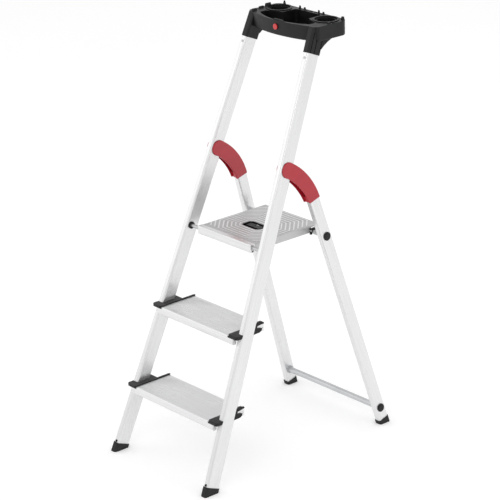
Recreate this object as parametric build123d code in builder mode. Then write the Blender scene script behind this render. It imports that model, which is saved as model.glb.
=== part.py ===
"""Folding aluminium step ladder: two treads and a platform, high front stiles with a tool tray.

Frame: +Z up, +Y towards the back, +X to the right seen from the front.  The origin is the
centre of the footprint on the floor.  All sizes are in millimetres.
"""
from build123d import *
from math import cos, radians, sqrt, tan
import os

# Driving dimensions of the whole ladder
BASE_DEPTH = 736
HALF_BASE = 204.9
TAPER = 0.0635
FRONT_LEAN = 22.3
REAR_LEAN = 17.0
STEP_RISE = 229.5
FIRST_STEP = 201.5
STILE_TOP = 1232
PIVOT_HEIGHT = 867

# Aluminium sections
STILE_WIDTH, STILE_DEPTH, STILE_RADIUS = 20, 45, 5
LEG_WIDTH, LEG_DEPTH, LEG_RADIUS = 21, 36, 4.5
WALL = 1.6
FOOT_WALL = 2
STILE_SOLE = 6
LEG_SOLE = 5
LEG_TOP = 774

# Derived slopes and heights
TAN_FRONT = tan(radians(FRONT_LEAN))
TAN_REAR = tan(radians(REAR_LEAN))
COS_FRONT = cos(radians(FRONT_LEAN))
COS_REAR = cos(radians(REAR_LEAN))
UPPER_STEP = FIRST_STEP + STEP_RISE
PLATFORM_TOP = UPPER_STEP + STEP_RISE
FRONT_Y = -BASE_DEPTH / 2 + FOOT_WALL / COS_FRONT
LEG_Y = BASE_DEPTH / 2 - (FOOT_WALL + LEG_DEPTH / 2) / COS_REAR
SIDES = {"left": -1, "right": 1}


def half_width(height):
    """Distance of a stile's or leg's centre from the middle of the ladder."""
    return HALF_BASE - TAPER * height


def stile_y(height):
    """Front face of the stiles at a height."""
    return FRONT_Y + height * TAN_FRONT


def leg_y(height):
    """Centre line of the rear legs at a height."""
    return LEG_Y - height * TAN_REAR


def stile_plane(side, height):
    """Cross-section plane of a stile: local y runs from its front face to its back face."""
    return Plane(
        origin=(side * half_width(height), stile_y(height), height),
        x_dir=(1, 0, side * TAPER),
        z_dir=(-side * TAPER, TAN_FRONT, 1),
    )


def stile_face_plane(side, height):
    """Plane on a stile's front face, looking out of it."""
    section = stile_plane(side, height)
    return Plane(origin=section.origin, x_dir=section.x_dir, z_dir=-section.y_dir)


def leg_plane(side, height):
    """Cross-section plane of a rear leg, centred on it: local y points to the back."""
    return Plane(
        origin=(side * half_width(height), leg_y(height), height),
        x_dir=(1, 0, side * TAPER),
        z_dir=(-side * TAPER, -TAN_REAR, 1),
    )


def flank_plane(side, height, across=0):
    """Plane along a stile's flank: local x is the ladder's Y, local y is up along the taper."""
    normal = Vector(1, 0, side * TAPER).normalized()
    origin = Vector(side * half_width(height), 0, height) + normal * (side * across)
    return Plane(origin=origin, x_dir=(0, 1, 0), z_dir=normal)


def finish(part, name):
    """Label a finished piece and write it."""
    part.label = name
    export_step(part, f"parts/{name}.step")


os.makedirs("parts", exist_ok=True)

# Pivot of the rear frame in the red joints
PIVOT_Y = stile_y(PIVOT_HEIGHT) + 27
AXLE_RADIUS = 7
CHANNEL_HALF = 11.2
CHEEK = 3
AXLE_DEPTH = 2

# Platform hinge in front and its rests at the back
PLATFORM_FRONT = stile_y(PLATFORM_TOP) + 7
PLATFORM_DEPTH = 261
PLATFORM_HALF = 115
ROD_Y = PLATFORM_FRONT + 7.5
ROD_Z = PLATFORM_TOP - 10
ROD_RADIUS = 5
REST_Z = 640
REST_Y = leg_y(REST_Z)
REST_RADIUS = 5

# Treads
TREAD_DEPTH = 130
TREAD_LEAD = 20
TREAD_LIP = 25
RIB_HEIGHT = 0.7
RIB_PITCH = 5
RIB_COUNT = 21
CAP_OVERLAP = 19
CAP_TOP = 4
END_GAP = 0.4
CAP_TAB = 17
CAP_SKIRT = 5
CAP_STRIP = 6
CORNER_CUT = CAP_OVERLAP - CAP_STRIP + 0.5
END_PLATE = 1.5
VENT_RADIUS = 1.5


# --- Fasteners of the front frame ---------------------------------------------------------

with BuildPart() as joint_axles:
    for side in SIDES.values():
        with BuildSketch(Plane.YZ.offset(side * half_width(PIVOT_HEIGHT))):
            with Locations((PIVOT_Y, PIVOT_HEIGHT)):
                Circle(AXLE_RADIUS)
                Circle(AXLE_RADIUS - 2, mode=Mode.SUBTRACT)
        extrude(amount=CHANNEL_HALF + AXLE_DEPTH, both=True)
finish(joint_axles.part, "joint_axles")

with BuildPart() as platform_hinge_rod:
    with BuildSketch(Plane.YZ):
        with Locations((ROD_Y, ROD_Z)):
            Circle(ROD_RADIUS)
    extrude(amount=half_width(ROD_Z) + STILE_WIDTH / 2 - WALL - 1, both=True)
    chamfer(platform_hinge_rod.edges().filter_by(GeomType.CIRCLE), 0.8)
finish(platform_hinge_rod.part, "platform_hinge_rod")

BUSH_RADIUS = 8.5
with BuildPart() as platform_hinge_bushes:
    for side in SIDES.values():
        inner_face = side * (half_width(ROD_Z) - STILE_WIDTH / 2)
        with BuildSketch(Plane.YZ.offset(inner_face - side * 3)):
            with Locations((ROD_Y, ROD_Z)):
                Circle(BUSH_RADIUS + 2)
        extrude(amount=side * 3)
        with BuildSketch(Plane.YZ.offset(inner_face)):
            with Locations((ROD_Y, ROD_Z)):
                Circle(BUSH_RADIUS)
        extrude(amount=side * 4)
    add(platform_hinge_rod.part, mode=Mode.SUBTRACT)


def stile_envelope(side):
    """Solid outer shape of a stile, without its hollow."""
    with BuildPart() as envelope:
        with BuildSketch(stile_plane(side, -40)):
            with Locations((0, STILE_DEPTH / 2)):
                RectangleRounded(STILE_WIDTH, STILE_DEPTH, STILE_RADIUS)
        extrude(amount=(STILE_TOP + 40) / COS_FRONT)
        split(bisect_by=Plane.XY.offset(STILE_SOLE))
    return envelope.part


def leg_envelope(side):
    """Solid outer shape of a rear leg, without its hollow."""
    with BuildPart() as envelope:
        with BuildSketch(leg_plane(side, -30)):
            RectangleRounded(LEG_WIDTH, LEG_DEPTH, LEG_RADIUS)
        extrude(amount=(LEG_TOP + 30) / COS_REAR)
        split(bisect_by=Plane.XY.offset(LEG_SOLE))
    return envelope.part


stile_solids = {name: stile_envelope(side) for name, side in SIDES.items()}
leg_solids = {name: leg_envelope(side) for name, side in SIDES.items()}

# The bush flange lies against the tapered inner face of its stile
with BuildPart() as fitted_bushes:
    add(platform_hinge_bushes.part)
    for side in SIDES.values():
        with BuildSketch(stile_plane(side, ROD_Z - 40)):
            with Locations((0, STILE_DEPTH / 2)):
                RectangleRounded(STILE_WIDTH, STILE_DEPTH, STILE_RADIUS)
            with Locations((-side * (STILE_WIDTH - WALL) / 2, STILE_DEPTH / 2)):
                Rectangle(WALL, STILE_DEPTH * 2, mode=Mode.SUBTRACT)
        extrude(amount=90, mode=Mode.SUBTRACT)
finish(fitted_bushes.part, "platform_hinge_bushes")

PEG_RADIUS = 3
PEG_HEIGHT = 31
with BuildPart() as front_foot_pegs:
    for side in SIDES.values():
        with BuildSketch(stile_face_plane(side, PEG_HEIGHT)):
            Circle(PEG_RADIUS)
        extrude(amount=-6)
        with BuildSketch(stile_face_plane(side, PEG_HEIGHT)):
            Circle(PEG_RADIUS + 1)
        extrude(amount=1.4, taper=20)
finish(front_foot_pegs.part, "front_foot_pegs")

SCREW_HEIGHT = 1170
with BuildPart() as tray_screws:
    for side in SIDES.values():
        with BuildSketch(stile_face_plane(side, SCREW_HEIGHT)):
            Circle(2)
        extrude(amount=-9)
        with BuildSketch(stile_face_plane(side, SCREW_HEIGHT)):
            Circle(4)
        extrude(amount=1.8, taper=25)
        with BuildSketch(stile_face_plane(side, SCREW_HEIGHT).offset(1.8)):
            Rectangle(4.4, 0.9)
            Rectangle(0.9, 4.4)
        extrude(amount=-0.9, mode=Mode.SUBTRACT)
finish(tray_screws.part, "tray_screws")


def tread_half(height):
    """Half length of a tread's aluminium profile."""
    return half_width(height) - STILE_WIDTH / 2 - END_GAP


DOWEL_RADIUS = 4
with BuildPart() as tread_dowels:
    for height in (FIRST_STEP, UPPER_STEP):
        for side in SIDES.values():
            start = side * (tread_half(height) - 14)
            with BuildSketch(Plane.YZ.offset(start)):
                with Locations((stile_y(height) + 12, height - 15), (stile_y(height) + 30, height - 15)):
                    Circle(DOWEL_RADIUS)
            extrude(amount=side * 22)
finish(tread_dowels.part, "tread_dowels")


# --- Stiles -------------------------------------------------------------------------------

def stile(name):
    """Hollow front stile with its bores, cut level at the floor end."""
    side = SIDES[name]
    with BuildPart() as part:
        add(stile_solids[name])
        with BuildSketch(stile_plane(side, -60)):
            with Locations((0, STILE_DEPTH / 2)):
                RectangleRounded(STILE_WIDTH - 2 * WALL, STILE_DEPTH - 2 * WALL, STILE_RADIUS - WALL)
        extrude(amount=(STILE_TOP + 100) / COS_FRONT, mode=Mode.SUBTRACT)
        with BuildSketch(Plane.YZ.offset(side * half_width(PIVOT_HEIGHT))):
            with Locations((PIVOT_Y, PIVOT_HEIGHT)):
                Circle(AXLE_RADIUS)
        extrude(amount=STILE_WIDTH, both=True, mode=Mode.SUBTRACT)
        for fitting in (fitted_bushes, platform_hinge_rod, front_foot_pegs, tray_screws, tread_dowels):
            add(fitting.part, mode=Mode.SUBTRACT)
    return part.part


for name in SIDES:
    finish(stile(name), f"{name}_stile")


# --- Treads and their end caps ------------------------------------------------------------

def tread(height):
    """Ribbed tread extrusion with a rounded nose, a hollow front lip and a rear lip."""
    front = stile_y(height) - TREAD_LEAD
    plate_top = height - RIB_HEIGHT
    with BuildPart() as part:
        with BuildSketch(Plane.YZ):
            with Locations((front + 7, plate_top - TREAD_LIP / 2)):
                RectangleRounded(14, TREAD_LIP, 4.5)
            with Locations((front + TREAD_DEPTH - 5, plate_top - 11)):
                RectangleRounded(10, 22, 2.5)
            with Locations((front + TREAD_DEPTH / 2, plate_top - 1.25)):
                Rectangle(TREAD_DEPTH - 10, 2.5)
            with Locations((front + 14 + 39, plate_top - 8)):
                Rectangle(1.8, 14)
            with Locations((front + 14 + 39, plate_top - 15)):
                Rectangle(9, 1.8)
            with Locations((front + 0.2, height - 17)):
                Circle(1.1)
            with Locations((front + 7.2, plate_top - TREAD_LIP / 2 + 0.4)):
                RectangleRounded(10.4, TREAD_LIP - 4.4, 2.6, mode=Mode.SUBTRACT)
            with Locations((front + TREAD_DEPTH - 5, plate_top - 11.4)):
                RectangleRounded(6.4, 17.6, 1, mode=Mode.SUBTRACT)
            with Locations((stile_y(height) + 12, height - 15), (stile_y(height) + 30, height - 15)):
                Circle(DOWEL_RADIUS + 1.8)
                Circle(DOWEL_RADIUS, mode=Mode.SUBTRACT)
            with Locations((stile_y(height) + 12, height - 6), (stile_y(height) + 30, height - 6)):
                Rectangle(1.8, 8)
        extrude(amount=tread_half(height), both=True)
        # Rear corners cut back so the folding legs pass
        behind_tab = TREAD_DEPTH - TREAD_LEAD - CAP_TAB - STILE_DEPTH / COS_FRONT
        with BuildSketch(Plane.XY.offset(height)):
            with GridLocations(2 * tread_half(height), 0, 2, 1):
                with Locations((0, front + TREAD_DEPTH)):
                    Rectangle(2 * CORNER_CUT, 2 * behind_tab)
        extrude(amount=-TREAD_LIP, mode=Mode.SUBTRACT)
        # Plates that close the ends of both lips, each with a vent
        for side in SIDES.values():
            with BuildSketch(Plane.YZ.offset(side * tread_half(height))):
                with Locations((front + 7, plate_top - TREAD_LIP / 2)):
                    RectangleRounded(14, TREAD_LIP, 4.5)
                    Circle(VENT_RADIUS, mode=Mode.SUBTRACT)
            extrude(amount=-side * END_PLATE)
            with BuildSketch(Plane.YZ.offset(side * (tread_half(height) - CORNER_CUT))):
                with Locations((front + TREAD_DEPTH - 5, plate_top - 11)):
                    RectangleRounded(10, 22, 2.5)
                    Circle(VENT_RADIUS, mode=Mode.SUBTRACT)
            extrude(amount=-side * END_PLATE)
        # Ribs on top, between the end caps
        with BuildSketch(Plane.YZ):
            with Locations((front + TREAD_DEPTH / 2 + 3, height - RIB_HEIGHT / 2)):
                with GridLocations(RIB_PITCH, 0, RIB_COUNT, 1):
                    Rectangle(2, RIB_HEIGHT)
        extrude(amount=tread_half(height) - CAP_OVERLAP - 0.5, both=True)
    return part.part


finish(tread(FIRST_STEP), "lower_tread")
finish(tread(UPPER_STEP), "upper_tread")


def tread_cap(name, height, with_clip):
    """Moulded tread end: a flange on the tread that runs round the stile, with a short skirt."""
    side = SIDES[name]
    front = stile_y(height) - TREAD_LEAD - 2
    rear = front + TREAD_DEPTH + 3
    stile_back = stile_y(height) + STILE_DEPTH / COS_FRONT
    tab = stile_back + CAP_TAB
    end = tread_half(height)
    inner = end - CAP_OVERLAP
    outer = half_width(height) + STILE_WIDTH / 2 - 1
    rim = 1.5
    with BuildPart() as cap:
        with BuildSketch(Plane.XY.offset(height - RIB_HEIGHT)) as plan:
            with BuildLine():
                Polyline(
                    (side * inner, front),
                    (side * outer, front),
                    (side * outer, tab),
                    (side * (inner + CAP_STRIP), tab),
                    (side * (inner + CAP_STRIP), rear),
                    (side * inner, rear),
                    close=True,
                )
            make_face()
            fillet(plan.vertices().group_by(Axis.Y)[0], 7)
        extrude(amount=RIB_HEIGHT + CAP_TOP - rim)
        extrude(cap.faces().sort_by(Axis.Z)[-1], amount=rim, taper=25)
        # Skirt in front of the tread's nose and beside its end
        with BuildSketch(Plane.XY.offset(height - RIB_HEIGHT)) as skirt:
            with BuildLine():
                Polyline(
                    (side * inner, front),
                    (side * outer, front),
                    (side * outer, tab - 2),
                    (side * (end + END_GAP), tab - 2),
                    (side * (end + END_GAP), front + 1.8),
                    (side * inner, front + 1.8),
                    close=True,
                )
            make_face()
            fillet(skirt.vertices().group_by(Axis.Y)[0].sort_by(Axis.X)[0 if side < 0 else -1], 7)
        extrude(amount=-CAP_SKIRT)
        if with_clip:
            with BuildSketch(flank_plane(side, height, STILE_WIDTH / 2 - 7)):
                with BuildLine():
                    Polyline(
                        (stile_back - 10, -6),
                        (stile_back + 17, -5),
                        (stile_back + 24, -1),
                        (stile_back + 26, 5),
                        (stile_back + 19, 7.5),
                        (stile_back + 12, 7.5),
                    )
                    ThreePointArc(
                        (stile_back + 12, 7.5),
                        (stile_back + 8, 11.5),
                        (stile_back + 12, 15.5),
                    )
                    Polyline((stile_back + 12, 15.5), (stile_back + 25, 17))
                    ThreePointArc(
                        (stile_back + 25, 17),
                        (stile_back + 29, 22),
                        (stile_back + 23, 26),
                    )
                    Polyline(
                        (stile_back + 23, 26),
                        (stile_back + 4, 26),
                        (stile_back - 10, -6),
                    )
                make_face()
            extrude(amount=side * 7)
        add(stile_solids[name], mode=Mode.SUBTRACT)
    return cap.part


for name in SIDES:
    finish(tread_cap(name, FIRST_STEP, name == "right"), f"lower_{name}_tread_cap")
    finish(tread_cap(name, UPPER_STEP, name == "right"), f"upper_{name}_tread_cap")


# --- Front feet ---------------------------------------------------------------------------

def front_foot(name):
    """Wedge-shaped plastic foot over the end of a stile, with a grooved flat sole."""
    side = SIDES[name]
    with BuildPart() as foot:
        with BuildSketch(stile_plane(side, -40)):
            with Locations((0, STILE_DEPTH / 2)):
                RectangleRounded(
                    STILE_WIDTH + 2 * FOOT_WALL, STILE_DEPTH + 2 * FOOT_WALL, STILE_RADIUS + FOOT_WALL
                )
        extrude(amount=(40 + 27) / COS_FRONT)
        split(bisect_by=Plane.XY)
        with BuildSketch(Plane.XY):
            with Locations((side * half_width(0), stile_y(0) + STILE_DEPTH / 2 / COS_FRONT)):
                with GridLocations(0, 7, 1, 6):
                    Rectangle(2 * STILE_WIDTH, 2)
        extrude(amount=1.2, mode=Mode.SUBTRACT)
        add(stile_solids[name], mode=Mode.SUBTRACT)
    return foot.part


for name in SIDES:
    finish(front_foot(name), f"{name}_front_foot")


# --- Tool tray ----------------------------------------------------------------------------

TRAY_TOP = 1252
TRAY_BOTTOM = 1209
TRAY_HALF = 145
TRAY_FRONT_END = stile_y(TRAY_TOP) + 7
TRAY_BOW = 28
TRAY_REAR = stile_y(TRAY_TOP) + 123
CUP_X = 98
CUP_Y = stile_y(TRAY_TOP) + 81
CUP_RADIUS = 26.5
CUP_RIM = 38
SOCKET_WALL = 2
SOCKET_FOOT = 1184
FLUTES = (6, 21, 41)
TRAY_WALL = 3
TRAY_KNOBS = (
    (-126, 10, 9, 16, 6),
    (-136, 46, 7, 18, 5),
    (-138, 74, 8, 22, 9),
    (-112, 115, 8, 8, 13),
    (131, 115, 9, 9, 8),
    (136, 55, 8, 9, 4),
    (139, 71, 5, 8, 4),
    (29, 119, 8, 5, 8),
    (48, 119, 8, 5, 6),
    (-30, 119, 8, 5, 6),
    (-50, 119, 8, 5, 8),
)
BADGE_Z = 1233.5
BADGE_RADIUS = 8.5
BOW_Y = TRAY_FRONT_END - TRAY_BOW


def front_bow(grow):
    """Bowed front wall line of the tray, moved out by grow."""
    ends = TRAY_FRONT_END - grow
    ThreePointArc((-TRAY_HALF, ends), (0, BOW_Y - grow), (TRAY_HALF, ends))


with BuildPart() as tray_badge:
    with BuildSketch(Plane.XZ.offset(-BOW_Y + 1.2)):
        with Locations((0, BADGE_Z)):
            Circle(BADGE_RADIUS)
    extrude(amount=3)
    fillet(tray_badge.faces().sort_by(Axis.Y)[0].edges(), 1)
finish(tray_badge.part, "tray_badge")

with BuildPart() as tool_tray:
    # Body with a bowed front wall
    with BuildSketch(Plane.XY.offset(TRAY_BOTTOM)) as outline:
        with BuildLine():
            front_bow(0)
            Polyline(
                (TRAY_HALF, TRAY_FRONT_END),
                (TRAY_HALF, TRAY_REAR),
                (-TRAY_HALF, TRAY_REAR),
                (-TRAY_HALF, TRAY_FRONT_END),
            )
        make_face()
        fillet(outline.vertices().group_by(Axis.Y)[0], 10)
        fillet(outline.vertices().group_by(Axis.Y)[-1], 22)
    extrude(amount=TRAY_TOP - TRAY_BOTTOM)
    fillet(tool_tray.faces().sort_by(Axis.Z)[0].edges(), 4)
    # Sockets that carry the tray on the stiles
    for side in SIDES.values():
        with BuildSketch(stile_plane(side, SOCKET_FOOT)):
            with Locations((0, STILE_DEPTH / 2)):
                RectangleRounded(STILE_WIDTH + 2 * SOCKET_WALL, STILE_DEPTH + 2 * SOCKET_WALL, 6)
        extrude(amount=(TRAY_TOP - SOCKET_FOOT + 30) / COS_FRONT)
        # Web that curves from the socket back under the tray
        with BuildSketch(flank_plane(side, TRAY_BOTTOM)):
            with BuildLine():
                Line((stile_y(SOCKET_FOOT) + 49, -25), (stile_y(TRAY_TOP) + 20, 20))
                Line((stile_y(TRAY_TOP) + 20, 20), (TRAY_REAR - 6, 20))
                Line((TRAY_REAR - 6, 20), (TRAY_REAR - 9, 5))
                ThreePointArc(
                    (TRAY_REAR - 9, 5),
                    (stile_y(TRAY_TOP) + 56, -4),
                    (stile_y(SOCKET_FOOT) + 49, -25),
                )
            make_face()
        extrude(amount=STILE_WIDTH / 2 + SOCKET_WALL, both=True)
    split(bisect_by=Plane.XY.offset(TRAY_TOP), keep=Keep.BOTTOM)
    # Rear lower edge bevelled
    with BuildSketch(Plane.YZ):
        with BuildLine():
            Polyline(
                (TRAY_REAR + 1, TRAY_BOTTOM - 30),
                (TRAY_REAR - 14, TRAY_BOTTOM - 30),
                (TRAY_REAR - 14, TRAY_BOTTOM),
                (TRAY_REAR - 3, TRAY_BOTTOM + 8),
                (TRAY_REAR + 1, TRAY_BOTTOM + 30),
                close=True,
            )
        make_face()
    extrude(amount=TRAY_HALF, both=True, mode=Mode.SUBTRACT)
    # Central basin
    with BuildSketch(Plane.XY.offset(TRAY_BOTTOM + TRAY_WALL)) as basin:
        with BuildLine():
            ThreePointArc((-104, stile_y(TRAY_TOP) + 12), (0, BOW_Y + 4), (104, stile_y(TRAY_TOP) + 12))
            Polyline(
                (104, stile_y(TRAY_TOP) + 12),
                (104, stile_y(TRAY_TOP) + 34),
                (54, stile_y(TRAY_TOP) + 56),
                (54, TRAY_REAR - 16),
                (-54, TRAY_REAR - 16),
                (-54, stile_y(TRAY_TOP) + 56),
                (-104, stile_y(TRAY_TOP) + 34),
                (-104, stile_y(TRAY_TOP) + 12),
            )
        make_face()
        fillet(basin.vertices().group_by(Axis.Y)[-1], 10)
    extrude(amount=TRAY_TOP, mode=Mode.SUBTRACT)
    # Rear slot for hand tools
    with BuildSketch(Plane.XY.offset(TRAY_BOTTOM - 5)):
        with Locations((0, TRAY_REAR - 8)):
            with GridLocations(22, 0, 5, 1):
                SlotOverall(15, 7)
    extrude(amount=TRAY_TOP, mode=Mode.SUBTRACT)
    # Raised rims and the cups inside them
    with BuildSketch(Plane.XY.offset(TRAY_TOP)):
        with GridLocations(2 * CUP_X, 0, 2, 1):
            with Locations((0, CUP_Y)):
                Circle(CUP_RIM)
                Circle(CUP_RIM - 5, mode=Mode.SUBTRACT)
    extrude(amount=2.5)
    with BuildSketch(Plane.XY.offset(TRAY_TOP - 2)):
        with GridLocations(2 * CUP_X, 0, 2, 1):
            with Locations((0, CUP_Y)):
                Circle(CUP_RIM - 5)
    extrude(amount=5, mode=Mode.SUBTRACT)
    with BuildSketch(Plane.XY.offset(TRAY_BOTTOM + TRAY_WALL)):
        with GridLocations(2 * CUP_X, 0, 2, 1):
            with Locations((0, CUP_Y)):
                Circle(CUP_RADIUS)
    extrude(amount=TRAY_TOP, mode=Mode.SUBTRACT)
    # Low tab on the front wall, knobs at the corners and teeth along the back
    with BuildSketch(Plane.XZ.offset(-BOW_Y - 1)):
        with Locations((10, TRAY_TOP)):
            Trapezoid(46, 8, 60)
    extrude(amount=-3)
    for x, y, width, depth, rise in TRAY_KNOBS:
        with BuildSketch(Plane.XY.offset(TRAY_TOP - 2)):
            with Locations((x, stile_y(TRAY_TOP) + y)):
                RectangleRounded(width, depth, 1.5)
        extrude(amount=rise + 2, taper=10)
    # Flutes down the outside of the sockets
    for side in SIDES.values():
        with BuildSketch(stile_plane(side, SOCKET_FOOT - 5)):
            for back in FLUTES:
                with Locations((side * (STILE_WIDTH / 2 + SOCKET_WALL), back)):
                    Rectangle(2.8, 3.4)
        extrude(amount=(TRAY_TOP - SOCKET_FOOT - 8) / COS_FRONT, mode=Mode.SUBTRACT)
    for name in SIDES:
        add(stile_solids[name], mode=Mode.SUBTRACT)
    add(tray_screws.part, mode=Mode.SUBTRACT)
    add(tray_badge.part, mode=Mode.SUBTRACT)
finish(tool_tray.part, "tool_tray")


# --- Fasteners of the rear frame ----------------------------------------------------------

BAR_Z = 54
BAR_RADIUS = 9
BAR_WALL = 1.4
BOLT_RADIUS = 4
LEG_BOLTS = {REST_Z: REST_Y, BAR_Z: leg_y(BAR_Z)}
CAP_RADIUS = 12.8
PIN_RADIUS = 2
SLEEVE_END = 108
SLEEVE_TOP = 91
SLEEVE_PIN = 99.5
LEG_REACH = leg_y(PIVOT_HEIGHT) - PIVOT_Y
HOOK_INNER = PLATFORM_HALF
HOOK_OUTER = PLATFORM_HALF + 6


def outboard_plane(side, height, across):
    """Plane along a leg's flank that faces away from the middle of the ladder."""
    flank = flank_plane(side, height, across)
    return Plane(origin=flank.origin, x_dir=flank.x_dir, z_dir=flank.z_dir * side)


def joint_plane(side, across=0):
    """Plane of a red joint with its origin on the pivot: local x is back, local y is up."""
    flank = flank_plane(side, PIVOT_HEIGHT, across)
    return Plane(origin=flank.origin + Vector(0, PIVOT_Y, 0), x_dir=flank.x_dir, z_dir=flank.z_dir)


def along_leg(drop, back=0):
    """Point of the joint plane on the leg: drop below the pivot and back from its centre line."""
    return Vector(
        LEG_REACH + drop * TAN_REAR + back * COS_REAR,
        -drop + back * COS_REAR * TAN_REAR,
    )


with BuildPart() as leg_bolts:
    for side in SIDES.values():
        for height, y in LEG_BOLTS.items():
            with BuildSketch(outboard_plane(side, height, LEG_WIDTH / 2)):
                with Locations((y, 0)):
                    RegularPolygon(6.5, 6)
            extrude(amount=3)
            with BuildSketch(outboard_plane(side, height, LEG_WIDTH / 2)):
                with Locations((y, 0)):
                    Circle(BOLT_RADIUS)
            extrude(amount=-36)
finish(leg_bolts.part, "leg_bolts")

with BuildPart() as leg_bolt_caps:
    for side in SIDES.values():
        for height, y in LEG_BOLTS.items():
            with BuildSketch(outboard_plane(side, height, LEG_WIDTH / 2)):
                with Locations((y, 0)):
                    Circle(CAP_RADIUS)
            extrude(amount=2.5)
            with BuildSketch(outboard_plane(side, height, LEG_WIDTH / 2 + 2.5)):
                with Locations((y, 0)):
                    Circle(CAP_RADIUS)
            extrude(amount=3, taper=45)
            with BuildSketch(outboard_plane(side, height, LEG_WIDTH / 2)):
                with Locations((y, 0)):
                    Circle(7)
            extrude(amount=3.2, mode=Mode.SUBTRACT)
finish(leg_bolt_caps.part, "leg_bolt_caps")

with BuildPart() as platform_rest_pins:
    for side in SIDES.values():
        with BuildSketch(Plane.YZ.offset(side * (HOOK_INNER + 0.5))):
            with Locations((REST_Y, REST_Z)):
                Circle(REST_RADIUS)
        extrude(amount=side * (half_width(REST_Z) + 5 - HOOK_INNER))
    chamfer(platform_rest_pins.edges().filter_by(GeomType.CIRCLE), 0.7)
    add(leg_bolts.part, mode=Mode.SUBTRACT)
finish(platform_rest_pins.part, "platform_rest_pins")

with BuildPart() as rest_pin_spacers:
    for side in SIDES.values():
        with BuildSketch(Plane.YZ.offset(side * (HOOK_OUTER + 1))):
            with Locations((REST_Y, REST_Z)):
                Circle(REST_RADIUS + 1.5)
        extrude(amount=side * (half_width(REST_Z) - HOOK_OUTER - 1))
    add(platform_rest_pins.part, mode=Mode.SUBTRACT)
    add(leg_bolts.part, mode=Mode.SUBTRACT)
    for name in SIDES:
        add(leg_solids[name], mode=Mode.SUBTRACT)
finish(rest_pin_spacers.part, "rest_pin_spacers")

with BuildPart() as joint_pins:
    for side in SIDES.values():
        with BuildSketch(joint_plane(side)):
            with Locations(along_leg(SLEEVE_PIN, -9), along_leg(SLEEVE_PIN, 9)):
                Circle(PIN_RADIUS)
        extrude(amount=CHANNEL_HALF + 1.8, both=True)
finish(joint_pins.part, "joint_pins")


# --- Rear legs, feet and cross bar --------------------------------------------------------

def rear_leg(name):
    """Hollow rear leg with its bores, cut level at the floor end."""
    side = SIDES[name]
    with BuildPart() as part:
        add(leg_solids[name])
        with BuildSketch(leg_plane(side, -60)):
            RectangleRounded(LEG_WIDTH - 2 * WALL, LEG_DEPTH - 2 * WALL, LEG_RADIUS - WALL)
        extrude(amount=(LEG_TOP + 120) / COS_REAR, mode=Mode.SUBTRACT)
        for fitting in (leg_bolts, platform_rest_pins, joint_pins):
            add(fitting.part, mode=Mode.SUBTRACT)
    return part.part


def rear_foot(name):
    """Thin plastic shoe over the end of a rear leg, with a grooved flat sole."""
    side = SIDES[name]
    with BuildPart() as foot:
        with BuildSketch(leg_plane(side, -30)):
            RectangleRounded(LEG_WIDTH + 2 * FOOT_WALL, LEG_DEPTH + 2 * FOOT_WALL, LEG_RADIUS + FOOT_WALL)
        extrude(amount=(30 + 16) / COS_REAR)
        split(bisect_by=Plane.XY)
        with BuildSketch(Plane.XY):
            with Locations((side * half_width(0), leg_y(0))):
                with GridLocations(0, 6, 1, 6):
                    Rectangle(2 * LEG_WIDTH, 2)
        extrude(amount=1.2, mode=Mode.SUBTRACT)
        add(leg_solids[name], mode=Mode.SUBTRACT)
    return foot.part


for name in SIDES:
    finish(rear_leg(name), f"{name}_rear_leg")
    finish(rear_foot(name), f"{name}_rear_foot")

BAR_HALF = half_width(BAR_Z) - LEG_WIDTH / 2 - 4
with BuildPart() as cross_bar:
    with BuildSketch(Plane.YZ):
        with Locations((leg_y(BAR_Z), BAR_Z)):
            Circle(BAR_RADIUS)
            Circle(BAR_RADIUS - BAR_WALL, mode=Mode.SUBTRACT)
    extrude(amount=BAR_HALF, both=True)
finish(cross_bar.part, "cross_bar")

with BuildPart() as cross_bar_plugs:
    for side in SIDES.values():
        with BuildSketch(Plane.YZ.offset(side * BAR_HALF)):
            with Locations((leg_y(BAR_Z), BAR_Z)):
                Circle(BAR_RADIUS + 3)
        extrude(amount=side * 8)
        with BuildSketch(Plane.YZ.offset(side * BAR_HALF)):
            with Locations((leg_y(BAR_Z), BAR_Z)):
                Circle(BAR_RADIUS - BAR_WALL)
        extrude(amount=-side * 26)
    add(leg_bolts.part, mode=Mode.SUBTRACT)
    for name in SIDES:
        add(leg_solids[name], mode=Mode.SUBTRACT)
finish(cross_bar_plugs.part, "cross_bar_plugs")


# --- Red joints ---------------------------------------------------------------------------

HEAD_RADIUS = 23.5
HEAD_MIDDLE = (2.5, 0)
JOINT_WALL = 3
SLEEVE_HALF = LEG_DEPTH / 2 + 2
CHEEK_LIP = 4.5
HEAD_TOP = (13.3, 20.8)
HEAD_BOTTOM = (-2.1, -23)
BACK_MIDDLE = (76, -32)
FRONT_MIDDLE = (43, -63.5)
WALL_ENDS = (0.12, 0.8)
joint_corner = along_leg(SLEEVE_END, LEG_DEPTH / 2 - 0.5)
back_arc = ThreePointArc(joint_corner, BACK_MIDDLE, HEAD_TOP, mode=Mode.PRIVATE)


def off_back(fraction, out):
    """Point beside the arc of the joint's back, at a fraction of its length and out from it."""
    centre = back_arc.arc_center
    return centre + (back_arc @ fraction - centre) * (1 + out / back_arc.radius)


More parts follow.
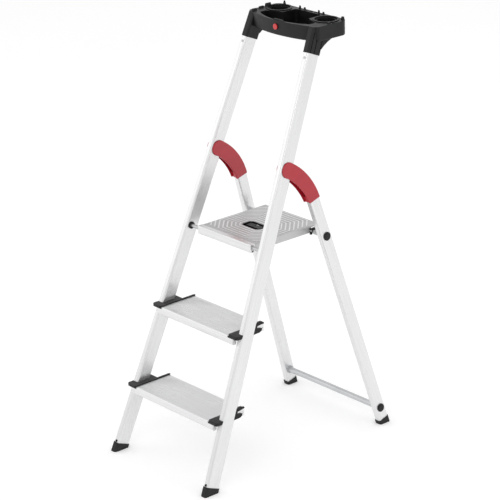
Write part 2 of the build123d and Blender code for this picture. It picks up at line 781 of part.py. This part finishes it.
def joint_body(name):
    """Whole joint: two cheeks and a back wall round the stile, and a sleeve on the leg."""
    side = SIDES[name]
    half = CHANNEL_HALF + CHEEK
    low, high = WALL_ENDS
    with BuildPart() as body:
        # Curved arm from the round head on the pivot down to the sleeve on the leg
        with BuildSketch(joint_plane(side)) as profile:
            with BuildLine():
                sleeve_front = along_leg(SLEEVE_END, -SLEEVE_HALF - CHEEK_LIP)
                ThreePointArc(joint_corner, BACK_MIDDLE, HEAD_TOP)
                Line(HEAD_TOP, HEAD_BOTTOM)
                ThreePointArc(HEAD_BOTTOM, FRONT_MIDDLE, sleeve_front)
                Line(sleeve_front, joint_corner)
            make_face()
            with Locations(HEAD_MIDDLE):
                Circle(HEAD_RADIUS)
            fillet(profile.vertices().sort_by_distance((0, 0, 0))[0:2], 25)
            fillet(profile.vertices().sort_by(Axis.Y)[0:2], 3)
        extrude(amount=half, both=True)
        fillet(body.faces().filter_by(joint_plane(side)).edges(), 2.5)
        # Open channel for the stile, all but the wall along the back
        with BuildSketch(joint_plane(side)):
            with BuildLine():
                Polyline(
                    along_leg(SLEEVE_TOP, -SLEEVE_HALF),
                    along_leg(SLEEVE_TOP, 2 * SLEEVE_HALF),
                    (80, 80),
                    (-80, 80),
                    (-80, -160),
                    along_leg(SLEEVE_END + 20, -SLEEVE_HALF),
                    close=True,
                )
            make_face()
            with BuildLine():
                ThreePointArc(
                    off_back(high, -JOINT_WALL),
                    off_back(0.46, -JOINT_WALL),
                    off_back(low, -JOINT_WALL),
                )
                Polyline(
                    off_back(low, -JOINT_WALL),
                    off_back(low, 40),
                    off_back(high, 60),
                    off_back(high, -JOINT_WALL),
                )
            make_face(mode=Mode.SUBTRACT)
        extrude(amount=CHANNEL_HALF, both=True, mode=Mode.SUBTRACT)
        with BuildSketch(Plane.YZ.offset(side * half_width(PIVOT_HEIGHT))):
            with Locations((PIVOT_Y, PIVOT_HEIGHT)):
                Circle(AXLE_RADIUS + 0.06)
        extrude(amount=CHANNEL_HALF + AXLE_DEPTH + 0.3, both=True, mode=Mode.SUBTRACT)
        with BuildSketch(joint_plane(side)):
            with Locations(along_leg(SLEEVE_PIN, -9), along_leg(SLEEVE_PIN, 9)):
                Circle(PIN_RADIUS)
        extrude(amount=CHANNEL_HALF + 1.8, both=True, mode=Mode.SUBTRACT)
        add(leg_solids[name], mode=Mode.SUBTRACT)
    return body.part


def joint_shell(whole, side, outer):
    """Half of a joint on one side of its middle plane."""
    facing = side if outer else -side
    middle = joint_plane(side)
    with BuildPart() as shell:
        add(whole)
        split(bisect_by=Plane(origin=middle.origin, x_dir=middle.x_dir, z_dir=middle.z_dir * facing))
    return shell.part


for name, side in SIDES.items():
    joint = joint_body(name)
    finish(joint_shell(joint, side, True), f"{name}_joint_outer_shell")
    finish(joint_shell(joint, side, False), f"{name}_joint_inner_shell")


# --- Platform -----------------------------------------------------------------------------

SHEET = 2
FLANGE = 22
REAR_FLANGE = 13
HEM_DEPTH = 16
HEM_HEIGHT = 25
DECK_START = PLATFORM_FRONT + HEM_DEPTH
DECK_END = PLATFORM_FRONT + PLATFORM_DEPTH
CUP_MIDDLE = PLATFORM_FRONT + 117
FLANGE_END = REST_Y - REST_RADIUS - 1.2
GRIP_HALF_X, GRIP_HALF_Y = 37.5, 22
GRIP_CORNER = 9
GRIP_RECESS = 2.5
GRIP_DEPTH = 17
RIVET_RADIUS = 2
RIVET_Y = DECK_START + 5
RIDGE_WIDTH, RIDGE_HEIGHT, RIDGE_PITCH = 4, 0.8, 12
RIDGE_COUNT = 10

with BuildPart() as retaining_rings:
    for side in SIDES.values():
        with BuildSketch(Plane.YZ.offset(side * (PLATFORM_HALF + 0.6))):
            with Locations((ROD_Y, ROD_Z)):
                Circle(ROD_RADIUS + 3)
                Circle(ROD_RADIUS, mode=Mode.SUBTRACT)
        extrude(amount=side * 1.2)
finish(retaining_rings.part, "retaining_rings")

with BuildPart() as deck_rivets:
    with BuildSketch(Plane.XY.offset(PLATFORM_TOP)):
        with Locations((0, RIVET_Y)):
            with GridLocations(92, 0, 3, 1):
                Circle(RIVET_RADIUS + 1.6)
    extrude(amount=0.9, taper=30)
    with BuildSketch(Plane.XY.offset(PLATFORM_TOP)):
        with Locations((0, RIVET_Y)):
            with GridLocations(92, 0, 3, 1):
                Circle(RIVET_RADIUS)
    extrude(amount=-5.5)
finish(deck_rivets.part, "deck_rivets")

with BuildPart() as hook_rivets:
    for side in SIDES.values():
        with BuildSketch(Plane.YZ.offset(side * HOOK_OUTER)):
            with Locations((FLANGE_END - 5, REST_Z + 6)):
                Circle(RIVET_RADIUS + 1.2)
        extrude(amount=side * 0.8)
        with BuildSketch(Plane.YZ.offset(side * HOOK_OUTER)):
            with Locations((FLANGE_END - 5, REST_Z + 6)):
                Circle(RIVET_RADIUS)
        extrude(amount=-side * 9.5)
finish(hook_rivets.part, "hook_rivets")

with BuildPart() as platform_hem:
    with BuildSketch(Plane.YZ):
        with Locations((PLATFORM_FRONT + HEM_DEPTH / 2, PLATFORM_TOP - HEM_HEIGHT / 2)):
            RectangleRounded(HEM_DEPTH, HEM_HEIGHT, 3)
        with Locations((DECK_START - 1.5, PLATFORM_TOP - SHEET)):
            Rectangle(3, 2 * SHEET)
        with Locations((ROD_Y, ROD_Z)):
            Circle(ROD_RADIUS + 0.06, mode=Mode.SUBTRACT)
        with Locations((ROD_Y, ROD_Z - 10)):
            Circle(3.6, mode=Mode.SUBTRACT)
        with Locations((DECK_START, ROD_Z - 7)):
            Rectangle(6, 2, mode=Mode.SUBTRACT)
        with Locations((PLATFORM_FRONT, PLATFORM_TOP - 6), (PLATFORM_FRONT, PLATFORM_TOP - 18)):
            Circle(0.7, mode=Mode.SUBTRACT)
    extrude(amount=PLATFORM_HALF, both=True)
    # Tongue that the front edge of the deck is riveted to
    with BuildSketch(Plane.YZ):
        with Locations((DECK_START + 4, PLATFORM_TOP - SHEET - 1)):
            Rectangle(12, 2)
    extrude(amount=PLATFORM_HALF - SHEET - 2, both=True)
    add(deck_rivets.part, mode=Mode.SUBTRACT)
finish(platform_hem.part, "platform_hem")


def grip_outline(grow):
    """Eight-sided outline round the hand grip, moved out by grow."""
    with BuildSketch() as outline:
        with Locations((0, CUP_MIDDLE)):
            Rectangle(2 * (GRIP_HALF_X + grow), 2 * (GRIP_HALF_Y + grow))
        chamfer(outline.vertices(), GRIP_CORNER + grow * (2 - sqrt(2)))
    return outline.sketch


PIN_Y = CUP_MIDDLE + 14
PIN_Z = PLATFORM_TOP - GRIP_RECESS - 3
with BuildPart() as paddle_pin:
    with BuildSketch(Plane.YZ):
        with Locations((PIN_Y, PIN_Z)):
            Circle(1.5)
    extrude(amount=GRIP_HALF_X - 1, both=True)
finish(paddle_pin.part, "paddle_pin")

with BuildPart() as grip_cup:
    with BuildSketch(Plane.XY.offset(PLATFORM_TOP - SHEET)):
        add(grip_outline(5))
    extrude(amount=-2)
    with BuildSketch(Plane.XY.offset(PLATFORM_TOP - 0.4)):
        add(grip_outline(0))
    extrude(amount=-GRIP_DEPTH - 2)
    with BuildSketch(Plane.XY.offset(PLATFORM_TOP)):
        add(grip_outline(-2.5))
    extrude(amount=-GRIP_DEPTH, mode=Mode.SUBTRACT)
    add(paddle_pin.part, mode=Mode.SUBTRACT)
finish(grip_cup.part, "grip_cup")

PADDLE_FRONT = CUP_MIDDLE - 7
PADDLE_TOP = PLATFORM_TOP - GRIP_RECESS
with BuildPart() as release_paddle:
    with BuildSketch(Plane.YZ):
        with Locations(((PADDLE_FRONT + PIN_Y) / 2, PADDLE_TOP - 2)):
            Rectangle(PIN_Y - PADDLE_FRONT, 4)
        with Locations((PIN_Y, PIN_Z)):
            Circle(3)
        with Locations((PADDLE_FRONT + 2, PADDLE_TOP - 4)):
            RectangleRounded(4, 8, 1.5)
        with Locations((PIN_Y, PIN_Z)):
            Circle(1.56, mode=Mode.SUBTRACT)
    extrude(amount=GRIP_HALF_X - 9, both=True)
    with BuildSketch(Plane.XY.offset(PLATFORM_TOP)):
        with Locations((0, PIN_Y)):
            Rectangle(12, 9)
    extrude(amount=-20, mode=Mode.SUBTRACT)
    with BuildSketch(Plane.XY.offset(PADDLE_TOP)):
        with Locations((0, PADDLE_FRONT + 8)):
            RegularPolygon(6, 3, rotation=90)
    extrude(amount=-0.7, mode=Mode.SUBTRACT)
finish(release_paddle.part, "release_paddle")

with BuildPart() as paddle_spring:
    with BuildLine() as coil:
        Helix(pitch=1.6, height=9, radius=2.4, center=(-4.5, PIN_Y, PIN_Z), direction=(1, 0, 0))
    with BuildSketch(Plane(origin=coil.line @ 0, z_dir=coil.line % 0)):
        Circle(0.5)
    sweep()
finish(paddle_spring.part, "paddle_spring")

with BuildPart() as platform_deck:
    # Sheet with a flange bent down along each side
    with BuildSketch(Plane.XZ.offset(-DECK_START)):
        with Locations((0, PLATFORM_TOP - FLANGE)):
            RectangleRounded(2 * PLATFORM_HALF, 2 * FLANGE, 3)
            RectangleRounded(2 * (PLATFORM_HALF - SHEET), 2 * (FLANGE - SHEET), 1.5, mode=Mode.SUBTRACT)
        with Locations((0, PLATFORM_TOP - 1.5 * FLANGE)):
            Rectangle(3 * PLATFORM_HALF, FLANGE, mode=Mode.SUBTRACT)
    extrude(amount=-PLATFORM_DEPTH + HEM_DEPTH)
    # The side flanges stop short of the rest pins with a rounded corner
    with BuildSketch(Plane.YZ):
        with BuildLine():
            Polyline(
                (FLANGE_END - 8, PLATFORM_TOP - FLANGE),
                (FLANGE_END, PLATFORM_TOP - FLANGE + 8),
                (FLANGE_END, PLATFORM_TOP - 6),
                (DECK_END - SHEET, PLATFORM_TOP - 6),
                (DECK_END + 10, PLATFORM_TOP - 6),
                (DECK_END + 10, PLATFORM_TOP - FLANGE - 10),
                (FLANGE_END - 8, PLATFORM_TOP - FLANGE - 10),
                close=True,
            )
        make_face()
    extrude(amount=2 * PLATFORM_HALF, both=True, mode=Mode.SUBTRACT)
    with BuildSketch(Plane.XZ.offset(-DECK_END)):
        with Locations((0, PLATFORM_TOP - 1 - REAR_FLANGE / 2)):
            RectangleRounded(2 * PLATFORM_HALF - 6, REAR_FLANGE, 2)
    extrude(amount=SHEET)
    # Raised ridges round the hand grip
    with BuildSketch(Plane.XY.offset(PLATFORM_TOP)):
        for count in reversed(range(RIDGE_COUNT)):
            reach = 5 + count * RIDGE_PITCH
            add(grip_outline(reach + RIDGE_WIDTH))
            add(grip_outline(reach), mode=Mode.SUBTRACT)
        with Locations((0, (RIVET_Y + DECK_END) / 2 + 2)):
            Rectangle(2 * PLATFORM_HALF - 10, DECK_END - RIVET_Y - 10, mode=Mode.INTERSECT)
    extrude(amount=RIDGE_HEIGHT)
    with BuildSketch(Plane.XY.offset(PLATFORM_TOP)):
        add(grip_outline(0))
    extrude(amount=-10, mode=Mode.SUBTRACT)
    add(deck_rivets.part, mode=Mode.SUBTRACT)
    add(hook_rivets.part, mode=Mode.SUBTRACT)
finish(platform_deck.part, "platform_deck")


def hook(name):
    """Plate on a side flange of the platform whose open notch drops over a rest pin."""
    side = SIDES[name]
    notch = REST_RADIUS + 0.3
    with BuildPart() as part:
        with BuildSketch(Plane.YZ.offset(side * HOOK_INNER)) as profile:
            with BuildLine():
                Polyline(
                    (REST_Y - 12.2, REST_Z - 6),
                    (REST_Y - 12.2, REST_Z + 12),
                    (REST_Y + 13.8, REST_Z + 12),
                    (REST_Y + 13.8, REST_Z - 6),
                    close=True,
                )
            make_face()
            fillet(profile.vertices().group_by(Axis.Y)[-1], 4)
            with Locations((REST_Y, REST_Z)):
                Circle(notch, mode=Mode.SUBTRACT)
            with BuildLine():
                Polyline(
                    (REST_Y + notch, REST_Z),
                    (REST_Y + notch, REST_Z - 20),
                    (REST_Y - notch - 7, REST_Z - 20),
                    (REST_Y - notch * 0.87, REST_Z + notch * 0.46),
                    (REST_Y, REST_Z + 2),
                    close=True,
                )
            make_face(mode=Mode.SUBTRACT)
        extrude(amount=side * (HOOK_OUTER - HOOK_INNER))
        add(hook_rivets.part, mode=Mode.SUBTRACT)
    return part.part


for name in SIDES:
    finish(hook(name), f"{name}_platform_hook")
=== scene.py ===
"""Looks for the folding aluminium step ladder: materials, light and camera.

Everything is in the row frame in metres: +Z up, +Y towards the rear frame, origin on the floor.
"""
from math import atan, cos, radians, sin

import bpy
from mathutils import Matrix, Vector


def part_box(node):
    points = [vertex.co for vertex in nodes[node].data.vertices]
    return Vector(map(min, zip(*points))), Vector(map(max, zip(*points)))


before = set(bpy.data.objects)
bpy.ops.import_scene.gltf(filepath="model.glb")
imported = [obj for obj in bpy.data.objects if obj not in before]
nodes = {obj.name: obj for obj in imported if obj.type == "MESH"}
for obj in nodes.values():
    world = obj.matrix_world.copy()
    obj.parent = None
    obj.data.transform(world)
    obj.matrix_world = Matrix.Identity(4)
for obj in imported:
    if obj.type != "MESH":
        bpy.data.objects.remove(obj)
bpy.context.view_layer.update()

# Lean of the stiles and of the rear legs, and how much each narrows inwards per unit of height
FRONT_LEAN = radians(22.3)
REAR_LEAN = radians(17.0)
TAPER = 0.0635
# Height of the ridges on the platform
RIDGE = 0.0008


# --- Materials ----------------------------------------------------------------------------

def new_material(name):
    """A material with its node tree and its Principled shader."""
    material = bpy.data.materials.new(name)
    material.use_nodes = True
    tree = material.node_tree
    shader = tree.nodes["Principled BSDF"]
    return material, tree, shader


def add_node(tree, kind, **inputs):
    """Adds a node and sets inputs by name; a socket as a value is linked."""
    node = tree.nodes.new(kind)
    for key, value in inputs.items():
        socket = node.inputs[key.replace("_", " ")]
        if isinstance(value, bpy.types.NodeSocket):
            tree.links.new(value, socket)
        else:
            socket.default_value = value
    return node


def object_coordinates(tree, turn=(0, 0, 0), stretch=(1, 1, 1)):
    """Object coordinates turned to run along a piece, then stretched."""
    coordinates = add_node(tree, "ShaderNodeTexCoord").outputs["Object"]
    turned = add_node(tree, "ShaderNodeMapping", Vector=coordinates, Rotation=turn).outputs[0]
    return add_node(tree, "ShaderNodeMapping", Vector=turned, Scale=stretch).outputs[0]


def noise(tree, vector, scale, detail=4.0, roughness=0.55):
    """Noise value over a vector."""
    node = add_node(
        tree, "ShaderNodeTexNoise", Vector=vector, Scale=scale, Detail=detail, Roughness=roughness
    )
    return node.outputs["Fac"]


def spread(tree, value, low, high):
    """Maps the middle of a noise value to a range."""
    node = add_node(tree, "ShaderNodeMapRange", Value=value)
    node.inputs["From Min"].default_value = 0.3
    node.inputs["From Max"].default_value = 0.7
    node.inputs["To Min"].default_value = low
    node.inputs["To Max"].default_value = high
    return node.outputs["Result"]


def blend_colours(tree, fac, dark, light):
    """Colour between two, by a factor."""
    node = tree.nodes.new("ShaderNodeMix")
    node.data_type = "RGBA"
    tree.links.new(fac, node.inputs[0])
    node.inputs[6].default_value = (*dark, 1)
    node.inputs[7].default_value = (*light, 1)
    return node.outputs[2]


ALUMINIUM_DARK = (0.75, 0.75, 0.755)
ALUMINIUM_LIGHT = (0.81, 0.81, 0.815)
NO_TURN = (0, 0, 0)
ALONG_Z = (1, 1, 0.02)
ALONG_X = (0.02, 1, 1)


def anodised(name, turn, stretch, dark=ALUMINIUM_DARK, light=ALUMINIUM_LIGHT, rough=(0.24, 0.38)):
    """Satin anodised aluminium whose extrusion grain runs along one direction."""
    material, tree, shader = new_material(name)
    grain_vector = object_coordinates(tree, turn, stretch)
    grain = noise(tree, grain_vector, 900.0, 6.0, 0.7)
    broad = noise(tree, grain_vector, 420.0, 2.0, 0.5)
    cloud = noise(tree, object_coordinates(tree), 9.0, 3.0)
    colour = blend_colours(tree, spread(tree, broad, 0.0, 1.0), dark, light)
    tree.links.new(colour, shader.inputs["Base Color"])
    both = add_node(tree, "ShaderNodeMath")
    tree.links.new(spread(tree, grain, rough[0], rough[1]), both.inputs[0])
    tree.links.new(spread(tree, cloud, -0.03, 0.03), both.inputs[1])
    tree.links.new(both.outputs[0], shader.inputs["Roughness"])
    shader.inputs["Metallic"].default_value = 0.85
    bump = add_node(tree, "ShaderNodeBump", Height=grain, Strength=0.12, Distance=0.0002)
    tree.links.new(bump.outputs[0], shader.inputs["Normal"])
    return material


def moulded(name, dark, light, rough, grain_scale, grain_depth, coat=0.0, shine=0.5):
    """Moulded plastic with a fine grain, slight colour clouds and rubbed spots."""
    material, tree, shader = new_material(name)
    vector = object_coordinates(tree)
    grain = noise(tree, vector, grain_scale, 2.0)
    cloud = noise(tree, vector, 25.0, 3.0)
    colour = blend_colours(tree, spread(tree, cloud, 0.0, 1.0), dark, light)
    tree.links.new(colour, shader.inputs["Base Color"])
    tree.links.new(spread(tree, cloud, rough[0], rough[1]), shader.inputs["Roughness"])
    shader.inputs["Coat Weight"].default_value = coat
    shader.inputs["Specular IOR Level"].default_value = shine
    shader.inputs["Coat Roughness"].default_value = 0.12
    bump = add_node(tree, "ShaderNodeBump", Height=grain, Strength=0.35, Distance=grain_depth)
    tree.links.new(bump.outputs[0], shader.inputs["Normal"])
    return material


def ridged_with_painted_shade(name, low, high):
    """Deck aluminium with painted shade and painted highlight: colour darkened on the floor
    between the ridges and lightened on their tops, by height.
    """
    material = anodised(name, NO_TURN, ALONG_X, rough=(0.38, 0.5))
    tree = material.node_tree
    shader = tree.nodes["Principled BSDF"]
    colour = shader.inputs["Base Color"].links[0].from_socket
    # Painted shade: the base colour is scaled by height, darker down between the ridges and
    # brighter on their tops
    position = add_node(tree, "ShaderNodeTexCoord").outputs["Object"]
    height = add_node(tree, "ShaderNodeSeparateXYZ", Vector=position).outputs["Z"]
    lift = add_node(tree, "ShaderNodeMapRange", Value=height)
    lift.inputs["From Min"].default_value = low
    lift.inputs["From Max"].default_value = high
    shade = add_node(tree, "ShaderNodeMapRange", Value=lift.outputs["Result"])
    shade.inputs["To Min"].default_value = 0.72
    shade.inputs["To Max"].default_value = 1.08
    scaled = tree.nodes.new("ShaderNodeVectorMath")
    scaled.operation = "SCALE"
    tree.links.new(colour, scaled.inputs[0])
    tree.links.new(shade.outputs["Result"], scaled.inputs["Scale"])
    tree.links.new(scaled.outputs["Vector"], shader.inputs["Base Color"])
    return material


TAPER_TURN = atan(TAPER)
stile_grain = {
    "left": anodised("stile_aluminium_left", (FRONT_LEAN, -TAPER_TURN, 0), ALONG_Z),
    "right": anodised("stile_aluminium_right", (FRONT_LEAN, TAPER_TURN, 0), ALONG_Z),
}
leg_grain = {
    "left": anodised("leg_aluminium_left", (-REAR_LEAN, -TAPER_TURN, 0), ALONG_Z),
    "right": anodised("leg_aluminium_right", (-REAR_LEAN, TAPER_TURN, 0), ALONG_Z),
}
cross_grain = anodised("cross_aluminium", NO_TURN, ALONG_X)
bar_grain = anodised("bar_aluminium", NO_TURN, ALONG_X, (0.52, 0.53, 0.54), (0.62, 0.63, 0.64))
# The deck colour carries painted shade between the ridges and a painted highlight on their tops
deck_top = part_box("platform_deck")[1][2]
deck_grain_and_painted_shade = ridged_with_painted_shade("deck_aluminium", deck_top - RIDGE, deck_top)
black_plastic = moulded(
    "black_plastic",
    dark=(0.005, 0.005, 0.006),
    light=(0.011, 0.011, 0.012),
    rough=(0.34, 0.5),
    grain_scale=1600.0,
    grain_depth=0.00012,
    shine=0.28,
)
black_rubber = moulded(
    "black_rubber",
    dark=(0.010, 0.010, 0.010),
    light=(0.02, 0.02, 0.02),
    rough=(0.55, 0.7),
    grain_scale=900.0,
    grain_depth=0.0002,
    shine=0.3,
)
red_plastic = moulded(
    "red_plastic",
    dark=(0.38, 0.006, 0.018),
    light=(0.44, 0.009, 0.023),
    rough=(0.28, 0.36),
    grain_scale=700.0,
    grain_depth=0.00005,
    coat=0.3,
)
badge_red = moulded(
    "badge_red",
    dark=(0.5, 0.008, 0.012),
    light=(0.6, 0.012, 0.018),
    rough=(0.2, 0.28),
    grain_scale=700.0,
    grain_depth=0.00003,
    coat=0.6,
)
grey_plastic = moulded(
    "grey_plastic",
    dark=(0.42, 0.43, 0.44),
    light=(0.5, 0.51, 0.52),
    rough=(0.4, 0.5),
    grain_scale=900.0,
    grain_depth=0.0001,
)
steel = anodised(
    "zinc_steel",
    NO_TURN,
    (1, 1, 1),
    dark=(0.5, 0.5, 0.51),
    light=(0.62, 0.62, 0.63),
    rough=(0.25, 0.4),
)

looks = {
    "cross_bar": bar_grain,
    "cross_bar_plugs": grey_plastic,
    "lower_tread": cross_grain,
    "upper_tread": cross_grain,
    "platform_hem": cross_grain,
    "platform_deck": deck_grain_and_painted_shade,
    "tray_badge": badge_red,
    "rest_pin_spacers": grey_plastic,
}
for side in ("left", "right"):
    looks[f"{side}_stile"] = stile_grain[side]
    looks[f"{side}_rear_leg"] = leg_grain[side]
    looks[f"{side}_front_foot"] = black_rubber
    looks[f"{side}_rear_foot"] = black_rubber
    looks[f"{side}_platform_hook"] = black_plastic
    for shell in ("outer", "inner"):
        looks[f"{side}_joint_{shell}_shell"] = red_plastic
    for level in ("lower", "upper"):
        looks[f"{level}_{side}_tread_cap"] = black_plastic
for name in (
    "tool_tray", "leg_bolt_caps", "grip_cup", "release_paddle",
    "front_foot_pegs", "tread_dowels", "platform_hinge_bushes",
):
    looks[name] = black_plastic
for name, piece in nodes.items():
    material = looks.get(name, steel)
    for index in range(len(piece.material_slots)):
        piece.material_slots[index].material = material
    if not piece.material_slots:
        piece.data.materials.append(material)


# --- Floor, light and camera --------------------------------------------------------------

def floor():
    """Plain pale floor, slightly bright of its own so that it stays near white."""
    mesh = bpy.data.meshes.new("floor")
    reach = 30.0
    mesh.from_pydata(
        [(-reach, -reach, 0), (reach, -reach, 0), (reach, reach, 0), (-reach, reach, 0)],
        [],
        [(0, 1, 2, 3)],
    )
    ground = bpy.data.objects.new("floor", mesh)
    bpy.context.scene.collection.objects.link(ground)
    material, tree, shader = new_material("floor_paper")
    cloud = noise(tree, object_coordinates(tree), 2.0)
    colour = blend_colours(tree, cloud, (0.93, 0.93, 0.93), (0.95, 0.95, 0.95))
    tree.links.new(colour, shader.inputs["Base Color"])
    shader.inputs["Roughness"].default_value = 0.9
    shader.inputs["Specular IOR Level"].default_value = 0.1
    shader.inputs["Emission Color"].default_value = (1, 1, 1, 1)
    shader.inputs["Emission Strength"].default_value = 0.16
    mesh.materials.append(material)


def soft_light(name, place, target, size, power):
    """Square area light that looks at a point."""
    data = bpy.data.lights.new(name, "AREA")
    data.size = size
    data.energy = power
    light = bpy.data.objects.new(name, data)
    light.location = place
    light.rotation_euler = (Vector(target) - Vector(place)).to_track_quat("-Z", "Y").to_euler()
    bpy.context.scene.collection.objects.link(light)


floor()
MIDDLE = (0, 0, 0.65)
soft_light("key", (1.8, -3.2, 3.4), MIDDLE, 2.2, 22)
soft_light("fill", (-3.4, -2.2, 2.0), MIDDLE, 2.5, 12)
soft_light("side", (3.8, 1.2, 1.8), MIDDLE, 2.0, 8)
soft_light("back", (-0.6, 3.6, 3.0), MIDDLE, 2.2, 12)

world = bpy.data.worlds.new("studio")
world.use_nodes = True
background = world.node_tree.nodes["Background"]
background.inputs["Color"].default_value = (1, 1, 1, 1)
background.inputs["Strength"].default_value = 0.85
bpy.context.scene.world = world
bpy.context.scene.view_settings.view_transform = "Standard"

camera_data = bpy.data.cameras.new("camera")
camera_data.lens = 155.28
camera_data.sensor_width = 36.0
camera_data.clip_end = 100.0
camera = bpy.data.objects.new("camera", camera_data)
position = Vector((4.4086, -3.8351, 2.7873))
target = Vector((0.201457, -0.16584, 0.689963))
ROLL = radians(-1.3557)
forward = (target - position).normalized()
level = forward.cross(Vector((0, 0, 1))).normalized()
upright = level.cross(forward)
right = level * cos(ROLL) + upright * sin(ROLL)
up = upright * cos(ROLL) - level * sin(ROLL)
turn = Matrix((right, up, -forward)).transposed().to_4x4()
camera.matrix_world = Matrix.Translation(position) @ turn
bpy.context.scene.collection.objects.link(camera)
bpy.context.scene.camera = camera
